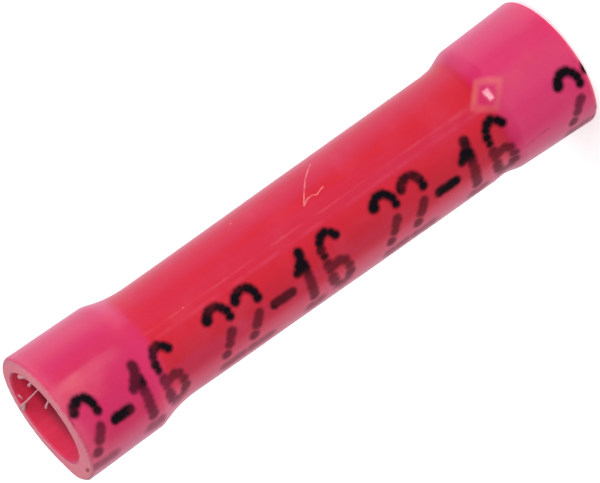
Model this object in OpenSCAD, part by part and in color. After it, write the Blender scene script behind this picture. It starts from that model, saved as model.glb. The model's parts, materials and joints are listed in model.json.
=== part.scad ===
// Insulated butt splice connector, in millimetres.
// A tinned copper barrel is gripped in a plastic sleeve whose ends are flared to take the wires' insulation.
// The splice stands on its lower end: the axis is Z, and the origin is the centre of that end.

/* [Barrel] */
// Length of the metal barrel
barrel_length = 15; // [10:0.5:22]
// Diameter of the bore that takes the stripped conductor
conductor_bore = 1.7; // [1.2:0.05:2.4]
// Wall thickness of the barrel
barrel_wall = 0.8; // [0.5:0.05:1.2]
// Chamfer that leads the strands into each end of the bore
strand_lead = 0.3; // [0.1:0.05:0.5]
// Bevel on the outer edge of each end of the barrel
barrel_bevel = 0.1; // [0.02:0.02:0.2]
// Width of the butted seam left where the strip's edges meet
seam_gap = 0.05; // [0.02:0.01:0.1]

/* [Wire stop] */
// Bore left open through the wire stop that is rolled in at mid length
stop_bore = 0.8; // [0.4:0.05:1]
// Width of the wire stop where it meets the bore
stop_width = 1.6; // [1.2:0.1:2.4]
// Depth of the groove that the rolling leaves on the outside
groove_depth = 0.3; // [0.1:0.05:0.4]
// Width of that groove
groove_width = 1.1; // [0.8:0.1:1.6]

/* [Serrations] */
// Grip grooves inside each half of the barrel
serration_count = 3; // [1:1:5]
// Depth of one grip groove
serration_depth = 0.1; // [0.05:0.01:0.2]
// Width of one grip groove
serration_width = 0.3; // [0.2:0.02:0.4]

/* [Sleeve] */
// Wall thickness of the sleeve over the barrel
sleeve_wall = 0.82; // [0.5:0.02:1.2]
// Inside diameter of the flared ends, for the wire's insulation
mouth_id = 4.4; // [3.6:0.05:5.5]
// Wall thickness at the open ends
mouth_wall = 0.65; // [0.4:0.05:1]
// Wall thickness of a flare where its shoulder begins
flare_wall = 0.58; // [0.4:0.02:1]
// Length of the flared part at each end
flare_length = 3.4; // [2:0.1:5]
// Length over which a flare necks down to the body
shoulder_length = 1.6; // [1:0.1:3]
// Radius on the outer edge of the cut ends
rim_radius = 0.1; // [0.02:0.02:0.14]
// Radius on the inner edge of the cut ends
mouth_radius = 0.2; // [0.05:0.05:0.25]
// Clearance each side between the barrel and its seat in the sleeve
seat_clearance = 0.01; // [0:0.01:0.05]

/* [Hidden] */

$fn = 96;
// Straight steps in a rounded edge, in a rolled groove and in a shoulder
edge_steps = 6;
roll_steps = 12;
shoulder_steps = 16;
// How far a shoulder holds the direction of the flare and of the body, as shares of its length
flare_hold = 0.22;
body_hold = 0.6;
// How far the seam's cut runs past the barrel's ends
overcut = 1;

barrel_r = conductor_bore / 2 + barrel_wall;
bore_r = conductor_bore / 2;
stop_depth = bore_r - stop_bore / 2;

seat_r = barrel_r + seat_clearance;
body_r = seat_r + sleeve_wall;
mouth_r = mouth_id / 2;
rim_r = mouth_r + mouth_wall;
flare_r = mouth_r + flare_wall;

// Height of the barrel's lower end, where the shoulder has reached the body
barrel_z = flare_length + shoulder_length;
sleeve_length = barrel_length + 2 * barrel_z;
mid_z = sleeve_length / 2;

// The grip grooves share the wall between the strand lead and the wire stop
grip_z = barrel_z + strand_lead;
grip_length = mid_z - stop_width / 2 - grip_z;
serration_pitch = grip_length / (serration_count + 1);

// Points of an arc about [r, z] from angle a0 to a1
function arc(r, z, radius, a0, a1, steps) =
    [for (i = [0 : steps]) let (a = a0 + (a1 - a0) * i / steps) [r + radius * cos(a), z + radius * sin(a)]];

function reversed(points) = [for (i = [len(points) - 1 : -1 : 0]) points[i]];

// The same outline in the upper half, in the order that carries it on
function mirrored(points) = [for (p = reversed(points)) [p[0], sleeve_length - p[1]]];

// Shoulder of the lower half: a cubic curve from radius r0 at the flare to r1 at the barrel's end,
// which leaves and arrives along the axis
function shoulder(r0, r1) =
    let (
        z1 = flare_length + flare_hold * shoulder_length,
        z2 = barrel_z - body_hold * shoulder_length
    )
    [for (i = [0 : shoulder_steps])
        let (
            t = i / shoulder_steps,
            a = pow(1 - t, 3),
            b = 3 * t * pow(1 - t, 2),
            c = 3 * pow(t, 2) * (1 - t),
            d = pow(t, 3)
        )
        [(a + b) * r0 + (c + d) * r1, a * flare_length + b * z1 + c * z2 + d * barrel_z]
    ];

// Sleeve's outside in the lower half, from the cut end up to the body
function sleeve_outside() = concat(
    arc(rim_r - rim_radius, rim_radius, rim_radius, -90, 0, edge_steps),
    shoulder(flare_r, body_r)
);

// Sleeve's inside in the lower half, from the cut end up to the barrel's seat
function sleeve_inside() = concat(
    arc(mouth_r + mouth_radius, mouth_radius, mouth_radius, 270, 180, edge_steps),
    shoulder(mouth_r, seat_r)
);

// Plastic sleeve: a tube with a flared, round-edged mouth at each end
module insulation_sleeve() {
    color([0.85, 0.16, 0.29])
    rotate_extrude()
    polygon(concat(
        sleeve_outside(),
        mirrored(sleeve_outside()),
        reversed(concat(sleeve_inside(), mirrored(sleeve_inside())))
    ));
}

// Groove rolled inwards from radius r at mid length, in order of rising height
function rolled_groove(r, width, depth) =
    let (
        radius = (pow(width / 2, 2) + pow(depth, 2)) / (2 * depth),
        half = asin(width / 2 / radius)
    )
    arc(r - depth + radius, mid_z, radius, 180 + half, 180 - half, roll_steps);

// One grip groove at height z
function serration(z) = [
    [bore_r, z - serration_width / 2],
    [bore_r + serration_depth, z],
    [bore_r, z + serration_width / 2]
];

// Barrel's outside in the lower half, below the rolled groove
function barrel_outside() = [[barrel_r - barrel_bevel, barrel_z], [barrel_r, barrel_z + barrel_bevel]];

// Barrel's bore in the lower half, below the wire stop
function barrel_inside() = concat(
    [[bore_r + strand_lead, barrel_z], [bore_r, grip_z]],
    [for (i = [1 : serration_count], p = serration(grip_z + i * serration_pitch)) p]
);

// Half section of the barrel: bevelled ends, grip grooves, and the wire stop at mid length
module barrel_section() {
    polygon(concat(
        barrel_outside(),
        rolled_groove(barrel_r, groove_width, groove_depth),
        mirrored(barrel_outside()),
        reversed(concat(
            barrel_inside(),
            rolled_groove(bore_r, stop_width, stop_depth),
            mirrored(barrel_inside())
        ))
    ));
}

// Barrel rolled from strip, with its seam butted along one side
module crimp_barrel() {
    color([0.8, 0.8, 0.78])
    difference() {
        rotate_extrude() barrel_section();
        translate([0, -seam_gap / 2, barrel_z - overcut])
        cube([barrel_r + overcut, seam_gap, barrel_length + 2 * overcut]);
    }
}

insulation_sleeve();
crimp_barrel();
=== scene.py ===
"""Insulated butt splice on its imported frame: the meshes, the finishes and the studio.

The splice stands on its lower end with its axis along Z. Lengths are in metres, and MM makes millimetres
readable. Shaders work in millimetres.
"""

import json
import logging
import math
import random
from dataclasses import dataclass
from enum import Enum
from functools import partialmethod, reduce
from typing import Any, Callable, Mapping, Sequence, Union

import bpy
from mathutils import Matrix, Vector


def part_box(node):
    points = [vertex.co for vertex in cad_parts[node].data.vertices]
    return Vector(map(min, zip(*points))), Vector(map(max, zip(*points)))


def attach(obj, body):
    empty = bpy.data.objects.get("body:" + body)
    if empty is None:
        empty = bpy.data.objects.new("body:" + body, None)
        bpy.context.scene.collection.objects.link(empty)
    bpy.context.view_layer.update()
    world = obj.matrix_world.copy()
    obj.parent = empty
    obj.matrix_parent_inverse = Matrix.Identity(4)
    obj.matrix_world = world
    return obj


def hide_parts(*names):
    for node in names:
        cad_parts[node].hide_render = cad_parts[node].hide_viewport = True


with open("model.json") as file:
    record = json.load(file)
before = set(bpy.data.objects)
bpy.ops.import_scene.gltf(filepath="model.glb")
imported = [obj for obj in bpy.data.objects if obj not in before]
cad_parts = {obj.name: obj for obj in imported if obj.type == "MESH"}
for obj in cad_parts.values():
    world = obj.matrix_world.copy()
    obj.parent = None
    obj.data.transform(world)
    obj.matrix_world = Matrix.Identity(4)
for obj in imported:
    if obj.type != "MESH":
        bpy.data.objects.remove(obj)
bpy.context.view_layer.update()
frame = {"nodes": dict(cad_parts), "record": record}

MM = 0.001
BODY = "root"
PHOTO_WIDTH = 600

log = logging.getLogger("butt_splice")

Key = Union[str, int]
Number = Union["Sock", float]
Colour = tuple[float, float, float]
Tint = Union["Sock", Colour]
Ring = tuple[float, float, float]
Point = tuple[float, float, float]
Spot = tuple[float, float]


class End(Enum):
    """The two ends of the splice; the value is the way out of the mouth along Z."""

    LOWER = -1
    UPPER = 1


@dataclass(eq=False)
class Sock:
    """An output of a shader's node that takes part in Python arithmetic."""

    shader: "Shader"
    socket: bpy.types.NodeSocket

    def combine(self, operation: str, other: Number) -> "Sock":
        """Adds a Math node on this output and another number."""
        return self.shader.math(operation, self, other)

    def __rsub__(self, other: Number) -> "Sock":
        """Difference with this output on the right."""
        return self.shader.math("SUBTRACT", other, self)

    def __abs__(self) -> "Sock":
        """Absolute value."""
        return self.shader.math("ABSOLUTE", self)

    __add__ = __radd__ = partialmethod(combine, "ADD")
    __sub__ = partialmethod(combine, "SUBTRACT")
    __mul__ = __rmul__ = partialmethod(combine, "MULTIPLY")
    __truediv__ = partialmethod(combine, "DIVIDE")
    __pow__ = partialmethod(combine, "POWER")


class Shader:
    """A material's node tree, written as expressions.

    Args:
        name: the material's name.
    """

    def __init__(self, name: str) -> None:
        """Makes the material with an empty tree and its output."""
        self.material = bpy.data.materials.new(name)
        self.material.use_nodes = True
        self.tree = self.material.node_tree
        self.tree.nodes.clear()
        self.end = self.tree.nodes.new("ShaderNodeOutputMaterial")

    def node(self, kind: str, inputs: Mapping[Key, Any], output: Key = 0, **settings: Any) -> Sock:
        """Adds one node.

        Args:
            kind: the node's type.
            inputs: values or links for its sockets, by name or number.
            output: the output that is wanted, by name or number.
            settings: its properties, which are set first.

        Returns:
            That output.
        """
        made = self.tree.nodes.new(kind)
        for key, value in settings.items():
            setattr(made, key, value)
        for key, value in inputs.items():
            socket = made.inputs[key]
            if isinstance(value, Sock):
                self.tree.links.new(value.socket, socket)
            elif socket.type == "RGBA" and len(value) == 3:
                socket.default_value = (*value, 1.0)
            else:
                socket.default_value = value
        return Sock(self, made.outputs[output])

    def math(self, operation: str, *operands: Number) -> Sock:
        """Adds a Math node on the operands and returns its result."""
        return self.node("ShaderNodeMath", dict(enumerate(operands)), operation=operation)

    def vector_math(self, operation: str, *operands: Any, output: str = "Vector") -> Sock:
        """Adds a Vector Math node on the operands and returns its result."""
        return self.node("ShaderNodeVectorMath", dict(enumerate(operands)), output, operation=operation)

    def mix(self, factor: Number, a: Tint, b: Tint, blend: str = "MIX") -> Sock:
        """Mixes two colours: the first at factor 0 and the second, laid on it by the blend, at 1."""
        inputs = {0: factor, 6: a, 7: b}
        return self.node("ShaderNodeMix", inputs, 2, data_type="RGBA", blend_type=blend)

    def layers(self, tint: Tint, *laid: tuple[Number, Tint]) -> Tint:
        """Lays colours on a colour in turn, each with its factor and the lowest first."""
        return reduce(lambda below, layer: self.mix(layer[0], below, layer[1]), laid, tint)

    def step(self, value: Number, low: float, high: float) -> Sock:
        """Smooth step from 0 at low to 1 at high; low may be the larger."""
        inputs = {"Value": value, "From Min": low, "From Max": high}
        return self.node("ShaderNodeMapRange", inputs, interpolation_type="SMOOTHSTEP")

    def noise(self, at: Sock, scale: float, detail: float = 2.0, rough: float = 0.5) -> Sock:
        """Cloudy noise about 0.5 at a place, with features of about 1/scale."""
        inputs = {"Vector": at, "Scale": scale, "Detail": detail, "Roughness": rough}
        return self.node("ShaderNodeTexNoise", inputs)

    def place(self, stretch: Sequence[float] = (1.0, 1.0, 1.0)) -> Sock:
        """The point on the piece in millimetres, stretched along its axes."""
        at = self.node("ShaderNodeTexCoord", {}, "Object")
        return self.vector_math("MULTIPLY", at, tuple(value / MM for value in stretch))

    def parts(self, vector: Sock) -> tuple[Sock, Sock, Sock]:
        """The three numbers of a vector."""
        outputs = self.node("ShaderNodeSeparateXYZ", {0: vector}).socket.node.outputs
        return Sock(self, outputs[0]), Sock(self, outputs[1]), Sock(self, outputs[2])

    def bump(self, height: Sock, distance: float, strength: float) -> Sock:
        """Normal of a surface raised by a height; the distance is in metres."""
        inputs = {"Height": height, "Distance": distance, "Strength": strength}
        return self.node("ShaderNodeBump", inputs)

    def surface(self, inputs: Mapping[str, Any]) -> Sock:
        """One plain surface with these sockets."""
        return self.node("ShaderNodeBsdfPrincipled", inputs)

    def over(self, factor: Sock, below: Sock, above: Sock) -> Sock:
        """Lays one surface on another where the factor is 1."""
        return self.node("ShaderNodeMixShader", {0: factor, 1: below, 2: above})

    def finish(self, surface: Sock) -> bpy.types.Material:
        """Ends the tree in a surface and returns the material."""
        self.tree.links.new(surface.socket, self.end.inputs["Surface"])
        return self.material


class Bench:
    """Edit-mode tools shared by the pieces."""

    @staticmethod
    def clear() -> None:
        """Leaves edit mode and deselects every object."""
        if bpy.context.object and bpy.context.object.mode != "OBJECT":
            bpy.ops.object.mode_set(mode="OBJECT")
        bpy.ops.object.select_all(action="DESELECT")

    @staticmethod
    def select(piece: bpy.types.Object, wanted: Callable[[Vector], bool]) -> None:
        """Selects the vertices that lie where they are wanted, and the faces between them.

        Args:
            piece: the object in edit mode.
            wanted: says of a vertex's place whether it is selected.
        """
        bpy.ops.mesh.select_mode(type="VERT")
        bpy.ops.mesh.select_all(action="DESELECT")
        bpy.ops.object.mode_set(mode="OBJECT")
        for vertex in piece.data.vertices:
            vertex.select = wanted(vertex.co)
        bpy.ops.object.mode_set(mode="EDIT")
        bpy.ops.mesh.select_mode(type="VERT")

    @staticmethod
    def ring(name: str, **options: Any) -> bpy.types.Object:
        """Adds the circle that a piece is extruded from.

        Args:
            name: the new object's name.
            options: the circle's points, radius, place and turn.

        Returns:
            The object, in edit mode, with all of it selected.
        """
        Bench.clear()
        bpy.ops.mesh.primitive_circle_add(**options)
        piece = bpy.context.object
        piece.name = name
        bpy.ops.object.transform_apply(location=True, rotation=True, scale=True)
        bpy.ops.object.mode_set(mode="EDIT")
        bpy.ops.mesh.select_all(action="SELECT")
        return piece

    @staticmethod
    def turned(name: str, rings: Sequence[Ring], segments: int) -> bpy.types.Object:
        """Models a closed ring-shaped piece by extruding a circle from ring to ring of its section.

        Args:
            name: the new object's name.
            rings: radius, height and shift along X of each ring, once round the section.
            segments: points round the axis.

        Returns:
            The object, in edit mode, with its normals outwards.
        """
        radius, height, shift = rings[0]
        piece = Bench.ring(name, vertices=segments, radius=radius, location=(shift, 0.0, height))
        for (radius, height, shift), (next_radius, next_height, next_shift) in zip(rings, rings[1:]):
            move = (next_shift - shift, 0.0, next_height - height)
            bpy.ops.mesh.extrude_region_move(TRANSFORM_OT_translate={"value": move})
            spread, middle = next_radius / radius, (next_shift, 0.0, next_height)
            bpy.ops.transform.resize(value=(spread, spread, 1.0), center_override=middle)
        bpy.ops.mesh.select_all(action="DESELECT")
        bpy.ops.mesh.select_mode(type="EDGE")
        bpy.ops.mesh.select_non_manifold(extend=False)
        bpy.ops.mesh.bridge_edge_loops()
        bpy.ops.mesh.select_all(action="SELECT")
        bpy.ops.mesh.normals_make_consistent(inside=False)
        return piece

    @staticmethod
    def strand(name: str, points: Sequence[Vector], radii: Sequence[float], sides: int) -> bpy.types.Object:
        """Models a thin tapering strand by extruding a small ring along its route.

        Args:
            name: the new object's name.
            points: the route.
            radii: the strand's radius at each point.
            sides: points round the strand.

        Returns:
            The object, in object mode.
        """
        turn = (points[1] - points[0]).to_track_quat("Z", "Y").to_euler()
        options = {"fill_type": "NGON", "location": points[0], "rotation": turn}
        piece = Bench.ring(name, vertices=sides, radius=radii[0], **options)
        for index in range(1, len(points)):
            move = points[index] - points[index - 1]
            bpy.ops.mesh.extrude_region_move(TRANSFORM_OT_translate={"value": move})
            thin = radii[index] / radii[index - 1]
            bpy.ops.transform.resize(value=(thin, thin, thin), center_override=points[index])
        bpy.ops.mesh.select_all(action="SELECT")
        bpy.ops.mesh.normals_make_consistent(inside=False)
        bpy.ops.object.mode_set(mode="OBJECT")
        bpy.ops.object.shade_smooth()
        return piece


# Radius in millimetres at which the sleeve's surface is laid flat; arcs are positive towards -X.
SLEEVE_RADIUS = 2.48
# Ink dots of each figure of the print, in millimetres across and down from its upper left corner.
GLYPH_DOTS: dict[str, tuple[Spot, ...]] = {
    "-": ((0.08, 1.29), (0.24, 1.28), (0.40, 1.28), (0.56, 1.28), (0.72, 1.28), (0.88, 1.29)),
    "1": (
        (0.53, 0.04), (0.50, 0.22), (0.40, 0.40), (0.26, 0.55), (0.10, 0.74), (0.30, 0.70), (0.48, 0.55),
        (0.48, 0.76), (0.44, 1.06), (0.44, 1.32), (0.44, 1.60), (0.43, 1.86), (0.43, 2.12), (0.20, 2.74),
        (0.44, 2.76), (0.68, 2.74),
    ),
    "2": (
        (0.03, 0.26), (0.13, 0.09), (0.31, -0.02), (0.49, -0.05), (0.67, 0.01), (0.81, 0.15), (0.89, 0.36),
        (0.90, 0.62), (0.67, 1.24), (0.56, 1.42), (0.43, 1.64), (0.17, 2.06), (0.02, 2.74), (0.24, 2.76),
        (0.45, 2.76), (0.66, 2.76), (0.88, 2.74),
    ),
    "6": (
        (0.84, 0.28), (0.71, 0.09), (0.50, -0.02), (0.28, 0.04), (0.11, 0.22), (0.03, 0.48), (0.03, 0.76),
        (0.03, 1.16), (0.03, 1.46), (0.04, 1.80), (0.09, 2.14), (0.24, 2.48), (0.46, 2.62), (0.68, 2.52),
        (0.84, 2.18), (0.86, 1.78), (0.75, 1.44), (0.52, 1.28), (0.28, 1.34),
    ),
}


@dataclass(frozen=True)
class Fade:
    """A smooth change of some measure, from 0 at its start to a share at its stop."""

    start: float
    stop: float
    share: float = 1.0

    def at(self, value: Sock) -> Sock:
        """How much of the share is reached at a value."""
        return value.shader.step(value, self.start, self.stop) * self.share


def arc_of(turn: float) -> float:
    """Arc on the sleeve of a turn from the front in degrees, in millimetres."""
    return math.radians(turn) * SLEEVE_RADIUS


@dataclass(frozen=True)
class Site:
    """A place on the sleeve as its shader sees it, in millimetres.

    It has its point, its arc from the front, its height and its depth under the upper cut. Outside is 0
    in the mouths, and barrel is 1 where the barrel lies behind the vinyl.
    """

    shader: Shader
    place: Sock
    across: Sock
    z: Sock
    under: Sock
    outside: Sock
    barrel: Sock


@dataclass(frozen=True)
class GaugePrint:
    """A wire range in plain figures, jetted in dots and repeated from end to end. Sizes in millimetres."""

    text: str = "22-16"
    letter_columns: int = 6
    column_pitch: float = 0.2215
    first_column: float = 26.2
    first_row: float = 0.05
    skew: float = 0.0198
    drifts: tuple[Fade, ...] = (Fade(21.9, 24.2, 0.25), Fade(6.4, 4.6, 0.10), Fade(2.72, 2.68, 0.80))
    dot_radius: float = 0.195
    running: float = 0.02
    unevenness: float = 0.012
    merging: float = 0.13
    raggedness: float = 0.08
    soft_edge: Fade = Fade(0.10, -0.10)
    blurred_rows: Fade = Fade(2.2, 2.7, 0.5)
    wet_rows: Fade = Fade(1.25, 0.65)
    dash_middle: float = 2.2
    dash_reach: Fade = Fade(0.75, 0.62)
    wet_cover: float = 0.30
    dry_cover: float = 0.70
    starved: Fade = Fade(0.50, 0.66, 0.16)
    low_rows: Fade = Fade(2.3, 2.7, 0.24)
    cut_margin: Fade = Fade(0.04, 0.12)
    seed: int = 22

    def marks(self) -> list[tuple[float, float, float]]:
        """Lays out the dots of one repeat of the text.

        Returns:
            For each dot: place along the text, place down from the first row, radius.
        """
        spread = random.Random(self.seed)
        made = []
        for index, letter in enumerate(self.text):
            left = index * self.letter_columns * self.column_pitch
            for along, down in GLYPH_DOTS[letter]:
                wander = [spread.gauss(0.0, self.unevenness) for _ in range(3)]
                radius = self.dot_radius + self.running * down + wander[2]
                made.append((left + along + wander[0], down + wander[1], radius))
        return made

    def spot(self, site: Site) -> tuple[Sock, Sock]:
        """Finds a place on the sleeve in the print.

        Args:
            site: the place on the sleeve.

        Returns:
            Place along the text, and place down from the first row.
        """
        shader = site.shader
        slipped = site.z
        for drift in self.drifts:
            slipped = slipped + drift.at(site.z)
        repeat = (len(self.text) + 1) * self.letter_columns * self.column_pitch
        margin = 2 * self.dot_radius
        along = shader.math("FLOORED_MODULO", self.first_column + margin - slipped, repeat) - margin
        down = site.across - self.first_row + (site.z - self.first_column) * self.skew
        return along, down

    def depth(self, shader: Shader, along: Sock, down: Sock) -> Sock:
        """Distance from the edge of the nearest mark.

        Args:
            shader: the shader that gets the nodes.
            along: place along the text.
            down: place down from the first row.

        Returns:
            The distance, negative inside the ink.
        """
        spot = shader.node("ShaderNodeCombineXYZ", {0: along, 1: down})
        nearest: Number = 1.0
        for left, low, radius in self.marks():
            far = shader.vector_math("DISTANCE", spot, (left, low, 0.0), output="Value") - radius
            nearest = shader.math("SMOOTH_MIN", nearest, far, self.merging)
        return nearest

    def laid(self, site: Site) -> Sock:
        """How much ink lies at a place.

        Args:
            site: the place on the sleeve.

        Returns:
            1 under full ink and 0 on bare vinyl.
        """
        shader = site.shader
        along, down = self.spot(site)
        ragged = (shader.noise(site.place, scale=5.0, detail=3.0) - 0.5) * self.raggedness
        depth = (self.depth(shader, along, down) + ragged) * (1.0 - self.blurred_rows.at(down))
        loss = self.starved.at(shader.noise(shader.place((0.9, 0.9, 0.7)), scale=1.0))
        dash = (self.text.index("-") * self.letter_columns + self.dash_middle) * self.column_pitch
        in_dash = self.dash_reach.at(abs(along - dash))
        wet = shader.math("MAXIMUM", self.wet_rows.at(down), in_dash)
        cover = wet * (self.wet_cover - loss) + self.dry_cover - self.low_rows.at(down)
        kept = site.outside * self.cut_margin.at(site.under)
        return self.soft_edge.at(depth) * cover * kept


@dataclass(frozen=True)
class Scuff:
    """A fine line on the sleeve through turns from the front in degrees and heights in millimetres."""

    turns: tuple[float, ...]
    heights: tuple[float, ...]
    half_width: float = 0.03
    wander: float = 0.08
    faintest: float = 0.4

    def mask(self, site: Site) -> Sock:
        """How much of the line shows at a place.

        Args:
            site: the place on the sleeve.

        Returns:
            1 on the line, falling to 0 beside it.
        """
        shader = site.shader
        wobble = (shader.noise(site.place, scale=4.0) - 0.5) * self.wander
        across, high = site.across + wobble, site.z + wobble
        points = [(arc_of(turn), height) for turn, height in zip(self.turns, self.heights)]
        nearest: Number = 10.0
        for (x0, z0), (x1, z1) in zip(points, points[1:]):
            run, rise = x1 - x0, z1 - z0
            dx, dz = across - x0, high - z0
            share = (dx * run + dz * rise) / (run * run + rise * rise)
            share = shader.math("MINIMUM", shader.math("MAXIMUM", share, 0.0), 1.0)
            gap = shader.math("SQRT", (dx - share * run) ** 2.0 + (dz - share * rise) ** 2.0)
            nearest = shader.math("MINIMUM", nearest, gap)
        shown = Fade(0.3, 0.6, 1.0 - self.faintest).at(shader.noise(site.place, scale=3.0))
        line = Fade(self.half_width * 1.5, self.half_width * 0.3).at(nearest)
        return line * (shown + self.faintest)


SCRATCH = Scuff(
    (-61.0, -46.8, -35.3, -23.7, -27.2, -28.0, -25.7, -27.4, -28.5),
    (10.9, 11.56, 12.0, 12.4, 12.12, 11.87, 11.69, 11.5, 11.3),
)
# Painted shade: a dark line down the lower flare, the shade of a fold that the mesh doesn't have.
CREASE_SHADE = Scuff((51.5, 50.0, 48.5, 49.0), (3.45, 3.0, 2.6, 2.3), 0.06)


@dataclass(frozen=True)
class Fleck:
    """A tiny pale fleck in the vinyl: turn from the front in degrees, height and radius in millimetres."""

    turn: float
    height: float
    radius: float
    share: float = 0.6

    def mask(self, site: Site) -> Sock:
        """How much of the fleck shows at a place."""
        aside, above = site.across - arc_of(self.turn), site.z - self.height
        return Fade(self.radius, 0.0, self.share).at(site.shader.math("SQRT", aside**2.0 + above**2.0))


FLECKS = (Fleck(-57.5, 14.9, 0.09), Fleck(-11.6, 18.66, 0.06), Fleck(-66.0, 16.4, 0.06))


@dataclass(frozen=True)
class Speck:
    """A grain of dirt caught in the vinyl: its place and its reach along the axes in millimetres."""

    at: Point
    reach: Point
    tint: Colour

    def lay(self, shader: Shader, place: Sock, tint: Tint) -> Sock:
        """Lays the grain on a colour.

        Args:
            shader: the shader that gets the nodes.
            place: the point on the piece in millimetres.
            tint: the colour round the grain.

        Returns:
            The colour with the grain in it.
        """
        off = shader.vector_math("DIVIDE", shader.vector_math("SUBTRACT", place, self.at), self.reach)
        far = shader.vector_math("LENGTH", off, output="Value")
        return shader.mix(shader.step(far, 1.0, 0.4), tint, self.tint)


RIM_SPECK = Speck((-2.43, -0.72, 24.90), (0.12, 0.36, 0.14), (0.37, 0.028, 0.050))


@dataclass(frozen=True)
class PaintedSheen:
    """Painted sheen: the pale reflection of the bright surround, painted into the colour where the vinyl
    turns away, and down the lower flare's front. In millimetres.
    """

    back: Fade = Fade(5.6, 3.9)
    right: Fade = Fade(1.7, 2.7, 0.52)
    left: Fade = Fade(-1.3, -2.3)
    left_share: float = 0.36
    left_loss: float = 0.28
    foot: Fade = Fade(4.6, 3.4, 0.18)
    foot_arc: float = -0.1
    foot_front: Fade = Fade(0.9, 0.2)

    def mask(self, site: Site) -> Sock:
        """How much painted sheen lies at a place.

        Args:
            site: the place on the sleeve.

        Returns:
            0 where none is painted.
        """
        across = site.across
        left = self.left.at(across) * (self.left_share - site.barrel * self.left_loss)
        sides = (self.right.at(across) + left) * self.back.at(abs(across))
        return sides + self.foot.at(site.z) * self.foot_front.at(abs(across - self.foot_arc))


@dataclass(frozen=True)
class RingReflection:
    """A painted reflection on the lower shoulder: a pale four-pointed ring, pink inside, round the lamp's
    highlight. In millimetres.
    """

    arc: float = -0.41
    height: float = 3.92
    wide: float = 0.57
    high: float = 0.70
    skew: float = 0.17
    roundness: float = 1.1
    middle: Fade = Fade(1.0, 0.6, 0.75)
    ring: Fade = Fade(0.55, 0.0)
    ring_share: float = 0.34
    far_side: Fade = Fade(-0.2, -0.7, 0.24)

    def lay(self, site: Site, tint: Sock, pink: Colour, pale: Colour) -> Sock:
        """Lays the painted ring on a colour.

        Args:
            site: the place on the sleeve.
            tint: the colour round the patch.
            pink: the colour in its middle.
            pale: the colour of its ring.

        Returns:
            The colour with the patch on it.
        """
        up = site.z - self.height
        beside = abs(site.across - self.arc - up * self.skew)
        out = (beside / self.wide) ** self.roundness + (abs(up) / self.high) ** self.roundness
        ring = self.ring.at(abs(out - 1.0)) * (self.far_side.at(site.across) + self.ring_share)
        return site.shader.layers(tint, (self.middle.at(out), pink), (ring, pale))


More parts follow.
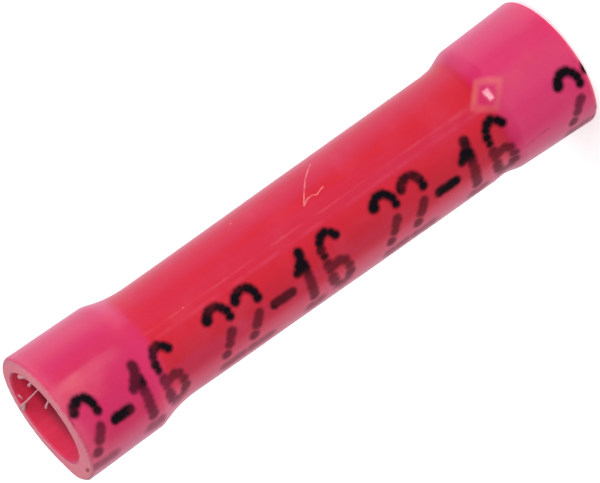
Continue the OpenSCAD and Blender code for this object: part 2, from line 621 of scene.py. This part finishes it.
@dataclass(frozen=True)
class VinylFinish:
    """Soft, slightly cloudy vinyl: pink where a flare stands clear, red over the barrel, with painted sheen,
    highlights, shade and glow in its colour. In millimetres.
    """

    upper_cut: Point
    over_barrel: Colour = (0.64, 0.008, 0.030)
    over_air: Colour = (0.63, 0.018, 0.118)
    banding: Colour = (0.62, 0.016, 0.070)
    foot_air: Colour = (0.70, 0.027, 0.155)
    # inside and deep: the mouth's inner wall, lightened as painted light through the thin wall and darkened
    # further down as painted shade.
    inside: Colour = (1.00, 0.056, 0.140)
    deep: Colour = (0.53, 0.050, 0.100)
    # haze: the pale tint of the painted sheen, also laid near the upper cut.
    haze: Colour = (0.74, 0.12, 0.23)
    # soft_pink: pink of the cloudy patches in the vinyl, also painted light on the lower flare.
    soft_pink: Colour = (0.72, 0.075, 0.16)
    # highlight_line: painted highlight, a thin pale line along the body where a lamp's reflection runs.
    highlight_line: Colour = (0.80, 0.12, 0.12)
    scratch: Colour = (0.85, 0.38, 0.36)
    crease_shade: Colour = (0.36, 0.008, 0.030)
    # pale_pink: the pale colour of the painted ring, also of the paler patch and the flecks.
    pale_pink: Colour = (0.80, 0.19, 0.18)
    # turned: painted shade, multiplied into the barrel's vinyl on the side turned from the lamps.
    turned: Colour = (0.89, 0.97, 0.97)
    # glow: painted light, a red glow on the mouth's inner wall near the rim, as if light came through the
    # thin wall.
    glow: Colour = (0.065, 0.004, 0.010)
    rim: Colour = (0.72, 0.27, 0.31)
    ink: Colour = (0.004, 0.002, 0.005)
    dark_mottle: Colour = (0.38, 0.38, 0.38)
    pale_mottle: Colour = (0.62, 0.62, 0.62)
    mottle_share: float = 0.32
    scratch_share: float = 0.5
    crease_shade_share: float = 0.36
    rim_share: float = 0.9
    foot_change: Fade = Fade(6.0, 3.0)
    lower_change: Fade = Fade(3.72, 4.30)
    upper_change: Fade = Fade(20.8, 20.3)
    change_wander: float = 0.7
    wall_middle: Fade = Fade(2.33, 2.37)
    bands: Fade = Fade(0.42, 0.68, 0.35)
    clouds: Fade = Fade(0.48, 0.80, 0.5)
    clouds_loss: float = 0.5
    painted_shade_from: Fade = Fade(0.2, 1.2)
    painted_shade_to: Fade = Fade(2.6, 1.6)
    streak_arc: float = -0.46
    streak_drift: float = 0.16
    streak_line: Fade = Fade(0.085, 0.0, 0.27)
    streak_spread: Fade = Fade(7.0, 4.9, 0.55)
    streak_patches: Fade = Fade(0.36, 0.66)
    twin_arc: float = 0.36
    twin_line: Fade = Fade(0.16, 0.0, 0.30)
    pale_patch_from: Fade = Fade(-0.85, -0.60)
    pale_patch_to: Fade = Fade(0.40, -0.30)
    pale_patch_height: Fade = Fade(23.0, 24.0, 0.22)
    near_cut: Fade = Fade(1.4, 0.0, 0.22)
    foot_painted_light: Fade = Fade(4.1, 3.6, 0.12)
    near_lip: Fade = Fade(0.60, 0.15, 0.32)
    mouth_edge: Fade = Fade(0.01, 0.08)
    mouth_shade_depth: Fade = Fade(0.52, 1.05)
    mouth_light: Fade = Fade(0.95, 0.35)
    rim_wear: float = 0.12
    upper_rim: Fade = Fade(0.12, 0.0)
    lower_rim: Fade = Fade(0.20, 0.0)
    painted_sheen: PaintedSheen = PaintedSheen()
    # stretch: painted reflection, a pale ring round the lower shoulder's highlight.
    stretch: RingReflection = RingReflection()
    gauge: GaugePrint = GaugePrint()

    def site(self, shader: Shader) -> Site:
        """Measures a place on the sleeve.

        Args:
            shader: the shader that gets the nodes.

        Returns:
            The place with all its measures.
        """
        place = shader.place()
        x, y, z = shader.parts(place)
        rise_x, rise_y, level = self.upper_cut
        edge = z + (shader.noise(place, scale=0.4) - 0.5) * self.change_wander
        return Site(
            shader=shader,
            place=place,
            across=shader.math("ARCTAN2", x * -1.0, y * -1.0) * SLEEVE_RADIUS,
            z=z,
            under=x * rise_x + y * rise_y + level - z,
            outside=self.wall_middle.at(shader.math("SQRT", x * x + y * y)),
            barrel=self.lower_change.at(edge) * self.upper_change.at(edge),
        )

    def ground(self, site: Site) -> Sock:
        """Colour of unmarked vinyl.

        Args:
            site: the place on the sleeve.

        Returns:
            The colour: redder over the barrel, with bands along the tube, pink clouds, painted sheen and
                painted shade on the side turned from the lamps.
        """
        shader, barrel = site.shader, site.barrel
        drawn = shader.noise(shader.place((0.8, 0.8, 0.035)), scale=1.0, detail=3.0)
        cloud = shader.noise(site.place, scale=0.55, detail=3.0)
        tint = shader.layers(
            self.over_air,
            (self.foot_change.at(site.z), self.foot_air),
            (barrel, self.over_barrel),
            (self.bands.at(drawn) * (barrel + 1.0), self.banding),
            (self.clouds.at(cloud) * (1.0 - barrel * self.clouds_loss), self.soft_pink),
            # painted sheen where the vinyl turns away and down the lower flare's front
            (self.painted_sheen.mask(site), self.haze),
        )
        # painted shade over the barrel on the side turned from the lamps
        turned = self.painted_shade_from.at(site.across) * self.painted_shade_to.at(site.across)
        return shader.mix(turned * barrel, tint, self.turned, "MULTIPLY")

    def worn(self, site: Site, tint: Sock) -> Sock:
        """Lays the painted highlight line along the body with a faint pink line beside it, the painted ring
        round the lower shoulder's highlight, a paler patch by the upper mouth and the flecks on a colour.

        Args:
            site: the place on the sleeve.
            tint: the colour of unmarked vinyl.

        Returns:
            The colour with these marks.
        """
        shader, across, z = site.shader, site.across, site.z
        drift = (shader.noise(shader.place((0.2, 0.2, 0.25)), scale=1.0) - 0.5) * self.streak_drift
        beside = across - self.streak_arc + drift
        patchy = shader.noise(shader.place((0.4, 0.4, 0.9)), scale=1.0, detail=3.0)
        patchy = self.streak_patches.at(patchy)
        thin = abs(beside) * (1.0 - self.streak_spread.at(z))
        twin = self.twin_line.at(abs(beside - self.twin_arc)) * (1.0 - patchy)
        # painted highlight line along the body, with a faint pink line beside it
        tint = shader.layers(
            tint,
            (self.streak_line.at(thin) * patchy * site.barrel, self.highlight_line),
            (twin * site.barrel, self.soft_pink),
        )
        # painted reflection: a pale ring round the lower shoulder's highlight
        tint = self.stretch.lay(site, tint, self.foot_air, self.pale_pink)
        # a paler patch by the upper mouth
        pale_patch = self.pale_patch_from.at(across) * self.pale_patch_to.at(across) * self.pale_patch_height.at(z)
        pale = [pale_patch, *(fleck.mask(site) for fleck in FLECKS)]
        return shader.layers(tint, *((factor, self.pale_pink) for factor in pale))

    def ends(self, site: Site, tint: Sock, grain: Sock) -> Sock:
        """Lays the paler vinyl near the upper cut, painted light on the lower flare, the mouths' inside with
        its painted light and shade, and the rims on a colour.

        Args:
            site: the place on the sleeve.
            tint: the colour of the vinyl.
            grain: fine grain about 0.5.

        Returns:
            The colour with both ends.
        """
        shader, under = site.shader, site.under
        # painted light and shade in the mouth: bright near the rim, darker deeper down
        wall = shader.mix(self.mouth_shade_depth.at(under), self.inside, self.deep)
        wear = (grain - 0.5) * self.rim_wear
        upper, lower = self.upper_rim.at(under - wear), self.lower_rim.at(site.z - wear)
        rim = shader.math("MAXIMUM", upper, lower) * site.outside
        return shader.layers(
            tint,
            # painted light: the lower shoulder and flare are made paler
            (self.near_cut.at(under) + self.foot_painted_light.at(site.z), self.soft_pink),
            (self.near_lip.at(under), self.haze),
            ((1.0 - site.outside) * self.mouth_edge.at(under), wall),
            (rim * self.rim_share, self.rim),
        )

    def vinyl(self, site: Site, grain: Sock, scuffed: Sock) -> Sock:
        """Colour of the bare vinyl.

        Args:
            site: the place on the sleeve.
            grain: fine grain about 0.5.
            scuffed: how much of the scratch shows.

        Returns:
            The colour with all that marks it, apart from the print.
        """
        shader = site.shader
        # worn lays painted highlights and a painted reflection as well as the flecks
        tint = self.ends(site, self.worn(site, self.ground(site)), grain)
        mottle = shader.mix(grain, self.dark_mottle, self.pale_mottle)
        tint = shader.mix(self.mottle_share, tint, mottle, "OVERLAY")
        return shader.layers(
            RIM_SPECK.lay(shader, site.place, tint),
            # painted shade of a fold on the lower flare
            (CREASE_SHADE.mask(site) * self.crease_shade_share, self.crease_shade),
            (scuffed * self.scratch_share, self.scratch),
        )

    def material(self) -> bpy.types.Material:
        """Makes the printed vinyl.

        Returns:
            The material.
        """
        shader = Shader("printed red vinyl")
        site = self.site(shader)
        grain = shader.noise(site.place, scale=9.0, detail=4.0, rough=0.6)
        scuffed = SCRATCH.mask(site) * site.outside
        drawn = shader.noise(shader.place((5.0, 5.0, 0.2)), scale=1.0)
        normal = shader.bump(grain * 0.6 + drawn * 0.4 + scuffed * 0.6, 0.006 * MM, 0.6)
        # painted light: the mouth's inner wall glows near the rim as if light came through the thin wall
        painted_glow = (1.0 - site.outside) * self.mouth_light.at(site.under)
        bare = shader.surface({
            "Emission Color": shader.mix(painted_glow, (0.0, 0.0, 0.0), self.glow),
            "Emission Strength": 1.0,
            "Base Color": self.vinyl(site, grain, scuffed),
            "Roughness": grain * 0.10 + 0.36 + scuffed * 0.15,
            "Normal": normal,
            "IOR": 1.5,
            "Specular IOR Level": 0.06,
            "Subsurface Weight": 0.35,
            "Subsurface Radius": (1.0, 0.25, 0.35),
            "Subsurface Scale": 0.5 * MM,
            "Coat Weight": 0.21,
            "Coat Roughness": 0.09,
            "Sheen Weight": 0.28,
            "Sheen Roughness": 0.45,
            "Sheen Tint": (0.12, 0.45, 0.68, 1.0),
        })
        printed = shader.surface({
            "Base Color": self.ink,
            "Roughness": grain * 0.2 + 0.5,
            "Normal": normal,
            "Specular IOR Level": 0.05,
        })
        return shader.finish(shader.over(self.gauge.laid(site), bare, printed))


@dataclass(frozen=True)
class CutFinish:
    """Vinyl where a knife has cut it: paler and rougher, with faint drag lines."""

    pale: Colour = (0.95, 0.28, 0.35)
    deep: Colour = (0.91, 0.19, 0.28)
    blotches: Fade = Fade(0.35, 0.65)

    def material(self) -> bpy.types.Material:
        """Makes the cut face.

        Returns:
            The material.
        """
        shader = Shader("cut red vinyl")
        drag = shader.noise(shader.place((1.0, 9.0, 1.0)), scale=2.2, detail=3.0)
        blotch = shader.noise(shader.place(), scale=3.0, detail=3.0)
        tint = shader.mix(self.blotches.at(drag * 0.5 + blotch * 0.5), self.deep, self.pale)
        face = shader.surface({
            "Base Color": RIM_SPECK.lay(shader, shader.place(), tint),
            "Roughness": blotch * 0.2 + 0.45,
            "Normal": shader.bump(drag + blotch, 0.015 * MM, 0.8),
            "Subsurface Weight": 0.4,
            "Subsurface Radius": (1.0, 0.3, 0.4),
            "Subsurface Scale": 0.6 * MM,
            "Sheen Weight": 0.6,
            "Sheen Roughness": 0.5,
            "Sheen Tint": (1.0, 0.40, 0.48, 1.0),
        })
        return shader.finish(face)


SHREDS = CutFinish(pale=(0.90, 0.42, 0.45), deep=(0.86, 0.32, 0.38))


@dataclass(frozen=True)
class TinFinish:
    """Tin plate on copper: satin, with turning lines and a faint warm cast where the plate is thin."""

    tin: Colour = (0.66, 0.65, 0.62)
    worn: Colour = (0.62, 0.47, 0.36)
    wear: Fade = Fade(0.58, 0.78, 0.5)

    def material(self) -> bpy.types.Material:
        """Makes the plated metal.

        Returns:
            The material.
        """
        shader = Shader("tinned copper")
        blotch = shader.noise(shader.place(), scale=1.4, detail=4.0)
        lines = shader.noise(shader.place((0.6, 0.6, 14.0)), scale=1.5)
        plate = shader.surface({
            "Base Color": shader.mix(self.wear.at(blotch), self.tin, self.worn),
            "Metallic": 1.0,
            "Roughness": lines * 0.12 + blotch * 0.12 + 0.22,
            "Normal": shader.bump(lines * 0.7 + blotch * 0.3, 0.01 * MM, 0.5),
        })
        return shader.finish(plate)


@dataclass(frozen=True)
class PaperFinish:
    """Plain pale studio paper on a light table."""

    tint: Colour = (0.93, 0.93, 0.93)
    fibre: Colour = (0.85, 0.85, 0.85)
    glow: float = 0.52

    def material(self) -> bpy.types.Material:
        """Makes the paper.

        Returns:
            The material.
        """
        shader = Shader("studio paper")
        fibre = shader.noise(shader.place(), scale=0.6, detail=3.0)
        sheet = shader.surface({
            "Base Color": shader.mix(fibre * 0.03, self.tint, self.fibre),
            "Roughness": 0.9,
            "Specular IOR Level": 0.1,
            "Emission Color": (1.0, 1.0, 1.0),
            "Emission Strength": self.glow,
        })
        return shader.finish(sheet)


@dataclass(frozen=True)
class Neck:
    """Where one flare necks down to the body, measured from its cut end."""

    flare: float
    shoulder: float
    flare_hold: float
    body_hold: float
    steps: int = 18

    def line(self, wide: float, narrow: float) -> list[Spot]:
        """A smooth shoulder between two radii.

        Args:
            wide: radius at the flare.
            narrow: radius at the body.

        Returns:
            Radius and distance from the cut end along the line, from the flare to the body.
        """
        made = []
        for index in range(self.steps + 1):
            t = index / self.steps
            weights = ((1 - t) ** 3, 3 * t * (1 - t) ** 2, 3 * t * t * (1 - t), t**3)
            depths = (0.0, self.flare_hold, 1 - self.body_hold, 1.0)
            depth = sum(weight * share for weight, share in zip(weights, depths))
            radius = wide * (weights[0] + weights[1]) + narrow * (weights[2] + weights[3])
            made.append((radius, self.flare + self.shoulder * depth))
        return made


@dataclass(frozen=True)
class Burr:
    """A shred of vinyl: its route from the middle of the upper cut and its radii on it, in millimetres."""

    route: tuple[Point, ...]
    radii: tuple[float, ...]


MOUTH_BURRS = (
    Burr(
        ((1.12, -2.05, -0.12), (1.11, -1.60, -0.10), (1.08, -0.80, -0.13), (1.05, 0.00, -0.15),
         (1.02, 0.80, -0.15), (1.00, 1.40, -0.15), (0.98, 1.75, -0.15), (0.97, 1.98, -0.15)),
        (0.030, 0.026, 0.028, 0.034, 0.042, 0.056, 0.075, 0.090),
    ),
    Burr(
        ((1.01, 1.10, -0.15), (0.97, 1.40, -0.15), (0.91, 1.68, -0.15), (0.86, 1.86, -0.15),
         (0.82, 2.00, -0.15)),
        (0.026, 0.040, 0.060, 0.080, 0.095),
    ),
    Burr(
        ((1.72, -1.62, -0.14), (1.78, -1.32, -0.09), (1.83, -1.02, -0.07), (1.88, -0.74, -0.08),
         (1.91, -0.56, -0.09), (1.93, -0.46, -0.10)),
        (0.095, 0.080, 0.075, 0.085, 0.100, 0.045),
    ),
    Burr(
        ((1.48, -1.78, -0.14), (1.47, -1.52, -0.10), (1.45, -1.20, -0.08), (1.44, -0.98, -0.09),
         (1.43, -0.84, -0.10)),
        (0.070, 0.050, 0.048, 0.075, 0.035),
    ),
    Burr(
        ((0.55, -2.25, -0.12), (0.52, -2.08, -0.04), (0.46, -1.90, 0.03), (0.40, -1.76, 0.07),
         (0.36, -1.68, 0.08)),
        (0.045, 0.040, 0.036, 0.055, 0.025),
    ),
    Burr(
        ((1.95, -0.86, -0.16), (1.88, -1.02, -0.12), (1.76, -1.22, -0.11), (1.62, -1.40, -0.11),
         (1.47, -1.55, -0.11), (1.32, -1.68, -0.13), (1.15, -1.81, -0.16)),
        (0.030, 0.060, 0.085, 0.065, 0.075, 0.055, 0.030),
    ),
    Burr(
        ((1.32, 1.70, -0.22), (1.36, 1.52, -0.19), (1.28, 1.45, -0.18), (1.15, 1.43, -0.18)),
        (0.050, 0.050, 0.045, 0.025),
    ),
)


@dataclass
class InsulationSleeve:
    """The vinyl sleeve with its print, cut ends and the burrs that the knife left in the upper mouth."""

    length: float
    rim_radius: float
    mouth_radius: float
    barrel_low: float
    barrel_high: float
    barrel_radius: float
    seat_clearance: float = 0.01 * MM
    body_wall: float = 0.79 * MM
    flare_wall: float = 0.58 * MM
    outer_round: float = 0.20 * MM
    foot_round: float = 0.10 * MM
    inner_round: float = 0.24 * MM
    mouth_round: float = 0.10 * MM
    mouth_draw: float = 0.16 * MM
    flare_draw: float = 0.045 * MM
    rim_draw: float = 0.060 * MM
    body_taper: float = 0.045 * MM
    edge_shift: float = 0.05 * MM
    upper_neck: Neck = Neck(3.60 * MM, 1.90 * MM, 0.15, 0.60)
    lower_neck: Neck = Neck(3.40 * MM, 1.05 * MM, 0.28, 0.40)
    funnel_steps: int = 12
    flare_rings: int = 6
    body_rings: int = 40
    segments: int = 192
    smooth_angle: float = math.radians(40.0)
    cut_lean: float = math.radians(1.5)
    cut_nod: float = math.radians(0.8)
    foot_lean: float = math.radians(2.0)
    foot_nod: float = math.radians(-1.6)
    foot_shift: float = 0.11 * MM
    mouth_shift: float = 0.10 * MM
    cut_face_band: float = 0.01 * MM
    cut_reach: float = 0.26 * MM
    cut_drag: float = 0.010 * MM
    cut_seed: int = 5
    ripple: float = 0.012 * MM
    ripple_length: float = 2.6 * MM
    lip_from: Spot = (-2.50 * MM, 0.0)
    lip_lift: float = 0.07 * MM
    lip_reach: float = 1.4 * MM
    burr_sides: int = 10

    @classmethod
    def from_frame(cls) -> "InsulationSleeve":
        """Takes the sleeve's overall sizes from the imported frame.

        Returns:
            The sleeve, not yet built.
        """
        low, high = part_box("insulation_sleeve")
        barrel_low, barrel_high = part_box("crimp_barrel")
        mounts = {mount["name"]: mount for mount in frame["record"]["mounts"]}
        return cls(
            length=high.z - low.z,
            rim_radius=(high.x - low.x) / 2,
            mouth_radius=mounts["upper_wire_mouth"]["dims"]["r_mm"] * MM,
            barrel_low=barrel_low.z,
            barrel_high=barrel_high.z,
            barrel_radius=(barrel_high.x - barrel_low.x) / 2,
        )

    @staticmethod
    def arc(centre: Spot, size: float, start: float, stop: float, steps: int = 6) -> list[Spot]:
        """Line round an edge.

        Args:
            centre: radius from the axis and distance from the cut end of the round's centre.
            size: the round's own radius.
            start: first angle in degrees; 0 points outwards and -90 to the cut end.
            stop: last angle in degrees.
            steps: how many steps the round has.

        Returns:
            Radius and distance from the cut end along the line.
        """
        radius, depth = centre
        angles = [math.radians(start + (stop - start) * index / steps) for index in range(steps + 1)]
        return [(radius + size * math.cos(angle), depth + size * math.sin(angle)) for angle in angles]

    @staticmethod
    def between(first: Spot, last: Spot, parts: int) -> list[Spot]:
        """Points that part a straight line evenly, from the first to the last and without either."""
        shares = [index / parts for index in range(1, parts)]
        return [tuple(a + (b - a) * share for a, b in zip(first, last)) for share in shares]

    @staticmethod
    def ease(value: float, start: float, stop: float) -> float:
        """Smooth step from 0 at the start to 1 at the stop."""
        share = min(max((value - start) / (stop - start), 0.0), 1.0)
        return share * share * (3.0 - 2.0 * share)

    def outside(self, end: End) -> list[Spot]:
        """Outer line of one end.

        Args:
            end: the end that is drawn.

        Returns:
            Radius and distance from the cut end along the line, from its cut edge to the body.
        """
        upper = end is End.UPPER
        neck = self.upper_neck if upper else self.lower_neck
        rounding = self.outer_round if upper else self.foot_round
        body = self.barrel_radius + self.seat_clearance + self.body_wall - end.value * self.body_taper
        flare = self.mouth_radius + self.flare_wall - self.flare_draw
        rim = self.rim_radius - (self.rim_draw if upper else 0.0)
        edge = self.arc((rim - rounding, rounding), rounding, -90.0, 0.0)
        edge += self.between(edge[-1], (flare, neck.flare), self.flare_rings)
        return edge + neck.line(flare, body)

    def inside(self, end: End) -> list[Spot]:
        """Inner line of one end.

        Args:
            end: the end that is drawn.

        Returns:
            Radius and distance from the cut end along the line, from its cut edge to the barrel's seat.
        """
        if end is End.UPPER:
            neck, seat_depth = self.upper_neck, self.length - self.barrel_high
            mouth, rounding = self.mouth_radius - self.mouth_draw, self.mouth_round
        else:
            neck, seat_depth = self.lower_neck, self.barrel_low
            mouth, rounding = self.mouth_radius, self.inner_round
        edge = self.arc((mouth + rounding, rounding), rounding, 270.0, 180.0)
        depth = seat_depth - neck.flare
        funnel = Neck(neck.flare, depth, neck.flare_hold, neck.body_hold, self.funnel_steps)
        return edge + funnel.line(mouth, self.barrel_radius + self.seat_clearance)

    def section(self) -> list[Ring]:
        """Draws the sleeve's whole section.

        Returns:
            Radius, height and shift along X of its rings, up the outside and down the inside.
        """
        up = self.outside(End.LOWER)
        down = [(r, self.length - depth) for r, depth in reversed(self.outside(End.UPPER))]
        body = self.between(up[-1], down[0], self.body_rings)
        upper = [(r, self.length - depth) for r, depth in self.inside(End.UPPER)]
        lower = list(reversed(self.inside(End.LOWER)))
        edge = self.length - self.outer_round
        foot = self.barrel_low, self.lower_neck.flare
        rings = [(r, z, self.foot_shift * self.ease(z, *foot)) for r, z in up]
        rings += [(r, z, -self.edge_shift * self.ease(z, edge, self.length)) for r, z in body + down]
        rings += [(r, z, self.mouth_shift * self.ease(z, self.barrel_high, self.length)) for r, z in upper]
        return rings + [(r, z, self.foot_shift * self.ease(z, *foot)) for r, z in lower]

    def cut_back(self, lean: float, nod: float) -> float:
        """How far a leaning cut moves back, so that its highest point stays at the end."""
        return self.rim_radius * math.hypot(math.sin(lean), math.sin(nod))

    def cut_ends(self, piece: bpy.types.Object) -> None:
        """Gives the cut faces their material and leans both cuts as the knife left them.

        Args:
            piece: the sleeve in edit mode.
        """
        middle = (self.length - self.cut_back(self.cut_lean, self.cut_nod)) / MM
        vinyl = VinylFinish(upper_cut=(math.tan(self.cut_lean), -math.tan(self.cut_nod), middle))
        piece.data.materials.append(vinyl.material())
        piece.data.materials.append(CutFinish().material())
        turns = ((End.UPPER, self.cut_lean, self.cut_nod), (End.LOWER, self.foot_lean, self.foot_nod))
        for end, lean, nod in turns:
            level = 0.0 if end is End.LOWER else self.length
            Bench.select(piece, lambda at: abs(at.z - level) < self.cut_face_band)
            piece.active_material_index = 1
            bpy.ops.object.material_slot_assign()
            Bench.select(piece, lambda at: abs(at.z - level) < self.cut_reach)
            pivot = (0.0, 0.0, level)
            bpy.ops.transform.rotate(value=lean, orient_axis="Y", center_override=pivot)
            bpy.ops.transform.rotate(value=nod, orient_axis="X", center_override=pivot)
            bpy.ops.transform.translate(value=(0.0, 0.0, -end.value * self.cut_back(lean, nod)))
            bpy.ops.transform.vertex_random(offset=self.cut_drag, uniform=0.0, normal=0.0, seed=self.cut_seed)
        self.lip(piece)
        bpy.ops.mesh.select_all(action="DESELECT")

    def lip(self, piece: bpy.types.Object) -> None:
        """Draws up the corner of the upper cut where the knife came out.

        Args:
            piece: the sleeve in edit mode.
        """
        x, y = self.lip_from
        Bench.select(piece, lambda at: at.x < x and at.y > y and at.z > self.length - self.outer_round)
        bpy.ops.transform.translate(
            value=(0.0, 0.0, self.lip_lift),
            use_proportional_edit=True,
            proportional_edit_falloff="SMOOTH",
            proportional_size=self.lip_reach,
        )

    def soften(self, piece: bpy.types.Object) -> None:
        """Adds the slight unevenness of an extruded soft tube.

        Args:
            piece: the sleeve in object mode.
        """
        cloud = bpy.data.textures.new("soft tube", "CLOUDS")
        cloud.noise_scale = self.ripple_length
        cloud.noise_depth = 1
        modifier = piece.modifiers.new("unevenness", "DISPLACE")
        modifier.texture = cloud
        modifier.texture_coords = "LOCAL"
        modifier.strength = 2 * self.ripple
        modifier.mid_level = 0.5
        bpy.ops.object.modifier_apply(modifier=modifier.name)

    def burrs(self) -> bpy.types.Object:
        """Models the fine strand and the nibs that the knife left on the upper mouth's inner edge.

        Returns:
            The burrs as one object.
        """
        top = Vector((0.0, 0.0, self.length))
        made = []
        for index, burr in enumerate(MOUTH_BURRS):
            points = [Vector(point) * MM + top for point in burr.route]
            radii = [radius * MM for radius in burr.radii]
            made.append(Bench.strand(f"burr_{index}", points, radii, self.burr_sides))
        Bench.clear()
        for piece in made:
            piece.select_set(True)
        bpy.context.view_layer.objects.active = made[0]
        bpy.ops.object.join()
        made[0].name = "mouth_burrs"
        return made[0]

    def dress(self) -> None:
        """Builds the sleeve and its burrs on the frame."""
        skin = Bench.turned("sleeve_skin", self.section(), self.segments)
        self.cut_ends(skin)
        bpy.ops.object.mode_set(mode="OBJECT")
        self.soften(skin)
        bpy.ops.object.shade_smooth_by_angle(angle=self.smooth_angle)
        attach(skin, BODY)
        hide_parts("insulation_sleeve")
        report(skin)
        burrs = self.burrs()
        burrs.data.materials.append(SHREDS.material())
        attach(burrs, BODY)
        report(burrs)


@dataclass
class CrimpBarrel:
    """The tinned barrel in the sleeve's middle."""

    node: str = "crimp_barrel"

    def dress(self) -> None:
        """Gives the barrel its plated finish."""
        piece = frame["nodes"][self.node]
        piece.data.materials.clear()
        piece.data.materials.append(TinFinish().material())
        report(piece)


@dataclass(frozen=True)
class Lamp:
    """A soft lamp: turn from the front and elevation in degrees, distance and size in metres, and watts."""

    name: str
    turn: float
    elevation: float
    distance: float
    width: float
    height: float
    power: float

    def hang(self, middle: float) -> bpy.types.Object:
        """Hangs the lamp, facing the splice.

        Args:
            middle: height of the splice's middle.

        Returns:
            The lamp's object.
        """
        turn, elevation = math.radians(self.turn), math.radians(self.elevation)
        level = Vector((math.sin(turn), -math.cos(turn), 0.0)) * math.cos(elevation)
        out = level + Vector((0.0, 0.0, math.sin(elevation)))
        data = bpy.data.lights.new(self.name, "AREA")
        data.shape = "RECTANGLE"
        data.size, data.size_y = self.width, self.height
        data.energy = self.power
        made = bpy.data.objects.new(self.name, data)
        bpy.context.scene.collection.objects.link(made)
        made.location = Vector((0.0, 0.0, middle)) + out * self.distance
        made.rotation_euler = out.to_track_quat("Z", "Y").to_euler()
        return made


LAMPS = (
    Lamp("overhead box", 90.0, 75.0, 0.8, 0.8, 0.8, 2.6),
    Lamp("side box", 70.0, 50.0, 0.6, 0.3, 0.3, 0.6),
    Lamp("front strip", 13.2, 17.1, 0.30, 0.105, 0.010, 0.205),
)
FLOOR_CARDS = (
    Lamp("near floor card", 26.0, 0.0, 0.092, 0.026, 0.042, 0.012),
    Lamp("wide floor card", 20.0, 0.0, 0.092, 0.046, 0.042, 0.008),
)


@dataclass
class Studio:
    """Pale floor, soft light and the camera at the photograph's angle."""

    middle: float
    elevation: float = 17.4
    distance: float = 0.22
    pixels_per_mm: float = 26.08
    roll: float = -125.28
    aim: Spot = (-0.03 * MM, 0.14 * MM)
    sensor: float = 36.0
    clip_start: float = 0.01
    floor_size: float = 6.0
    card_height: float = 0.5 * MM
    surround: float = 0.25

    def floor(self) -> None:
        """Lays the floor."""
        Bench.clear()
        bpy.ops.mesh.primitive_grid_add(
            x_subdivisions=8, y_subdivisions=8, size=self.floor_size, location=(0.0, 0.0, 0.0)
        )
        floor = bpy.context.object
        floor.name = "floor"
        floor.data.materials.append(PaperFinish().material())

    def camera(self) -> None:
        """Sets the camera, rolled so that the standing splice lies across the picture as in the photo."""
        lift, back = math.sin(math.radians(self.elevation)), math.cos(math.radians(self.elevation))
        aim = Vector((self.aim[0], 0.0, self.middle + self.aim[1]))
        data = bpy.data.cameras.new("camera")
        data.sensor_fit = "HORIZONTAL"
        data.sensor_width = self.sensor
        data.lens = self.sensor * self.distance / (PHOTO_WIDTH / self.pixels_per_mm * MM)
        data.clip_start = self.clip_start
        made = bpy.data.objects.new("camera", data)
        bpy.context.scene.collection.objects.link(made)
        stand = Matrix.Translation(aim + Vector((0.0, -back, lift)) * self.distance)
        level = Matrix.Rotation(math.radians(90.0 - self.elevation), 4, "X")
        turn = Matrix.Rotation(math.radians(self.roll), 4, "Z")
        made.matrix_world = stand @ level @ turn
        bpy.context.scene.camera = made

    def light(self) -> None:
        """Sets the even surround, the lamps, and the cards that lie face up on the floor."""
        scene = bpy.context.scene
        world = bpy.data.worlds.new("surround")
        scene.world = world
        world.use_nodes = True
        background = world.node_tree.nodes["Background"]
        background.inputs["Color"].default_value = (1.0, 1.0, 1.0, 1.0)
        background.inputs["Strength"].default_value = self.surround
        scene.view_settings.view_transform = "Standard"
        for lamp in LAMPS:
            lamp.hang(self.middle)
        for lamp in FLOOR_CARDS:
            card = lamp.hang(self.middle)
            card.location.z = self.card_height
            card.rotation_euler = (math.pi, 0.0, math.radians(lamp.turn))

    def set_up(self) -> None:
        """Builds the whole studio."""
        self.floor()
        self.camera()
        self.light()


def report(piece: bpy.types.Object) -> None:
    """Logs a piece and how many faces it has."""
    log.info("%s: %d faces", piece.name, len(piece.data.polygons))


def main() -> None:
    """Builds the splice and its studio."""
    logging.basicConfig(level=logging.INFO, format="%(name)s: %(message)s")
    sleeve = InsulationSleeve.from_frame()
    sleeve.dress()
    CrimpBarrel().dress()
    Studio(middle=sleeve.length / 2).set_up()
    Bench.clear()


if __name__ == "__main__":
    main()
